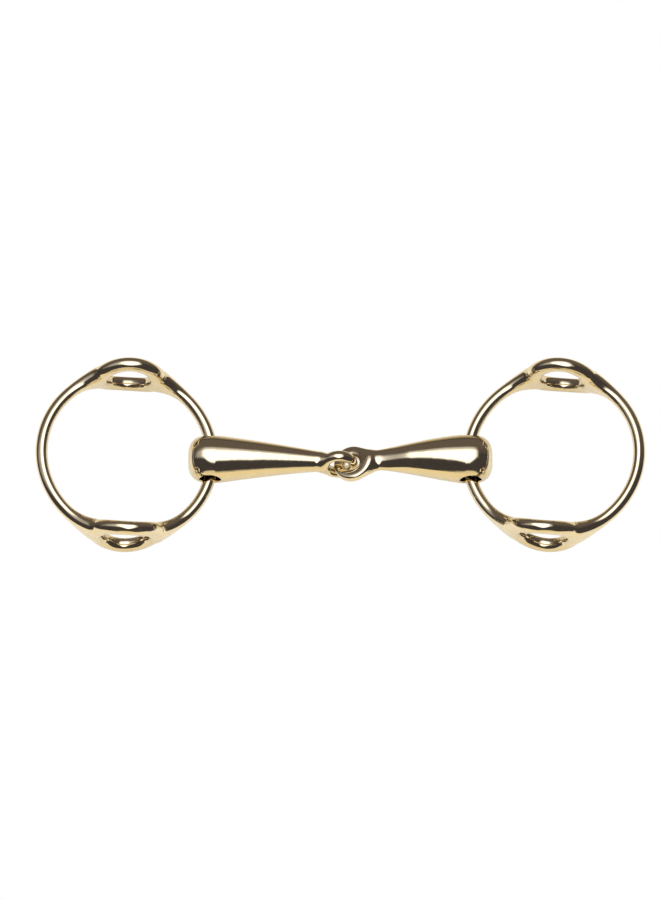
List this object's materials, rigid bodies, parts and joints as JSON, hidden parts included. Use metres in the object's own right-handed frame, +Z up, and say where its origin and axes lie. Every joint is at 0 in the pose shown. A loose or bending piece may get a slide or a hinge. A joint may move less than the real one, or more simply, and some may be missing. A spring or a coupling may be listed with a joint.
{
  "type": "snaffle bit",
  "caption": "Single-jointed loose-ring gag snaffle bit in pale gold alloy, with tapered canons and rings that carry large round eyes for the cheekpieces.",
  "frame": {"origin": "on the table under the middle of the bit, the bit lying flat as in the picture", "axes": "+X along the mouthpiece from the left canon to the right one, +Y away from the viewer along the ring holes, +Z up from the table"},
  "size_m": [0.2748, 0.0844, 0.0331],
  "materials": {
    "alloy": "polished"
  },
  "bodies": {
    "left_canon": {"left_canon": "alloy"},
    "right_canon": {"right_canon": "alloy"},
    "left_ring": {"left_ring": "alloy"},
    "right_ring": {"right_ring": "alloy"}
  },
  "joints": [
    {"name": "mouth_fold", "type": "hinge", "parent": "left_canon", "child": "right_canon", "pos_m": [-0.0006, -0.0019, 0.0087], "axis": [0, -0.9613, 0.2756], "range_deg": [-55, 55]},
    {"name": "left_ring_swing", "type": "hinge", "parent": "left_canon", "child": "left_ring", "pos_m": [-0.059, -0.0004, 0.0112], "axis": [0, 1, 0], "range_deg": [-110, 90]},
    {"name": "right_ring_swing", "type": "hinge", "parent": "right_canon", "child": "right_ring", "pos_m": [0.059, -0.0004, 0.0112], "axis": [0, -1, 0], "range_deg": [-110, 90]}
  ]
}
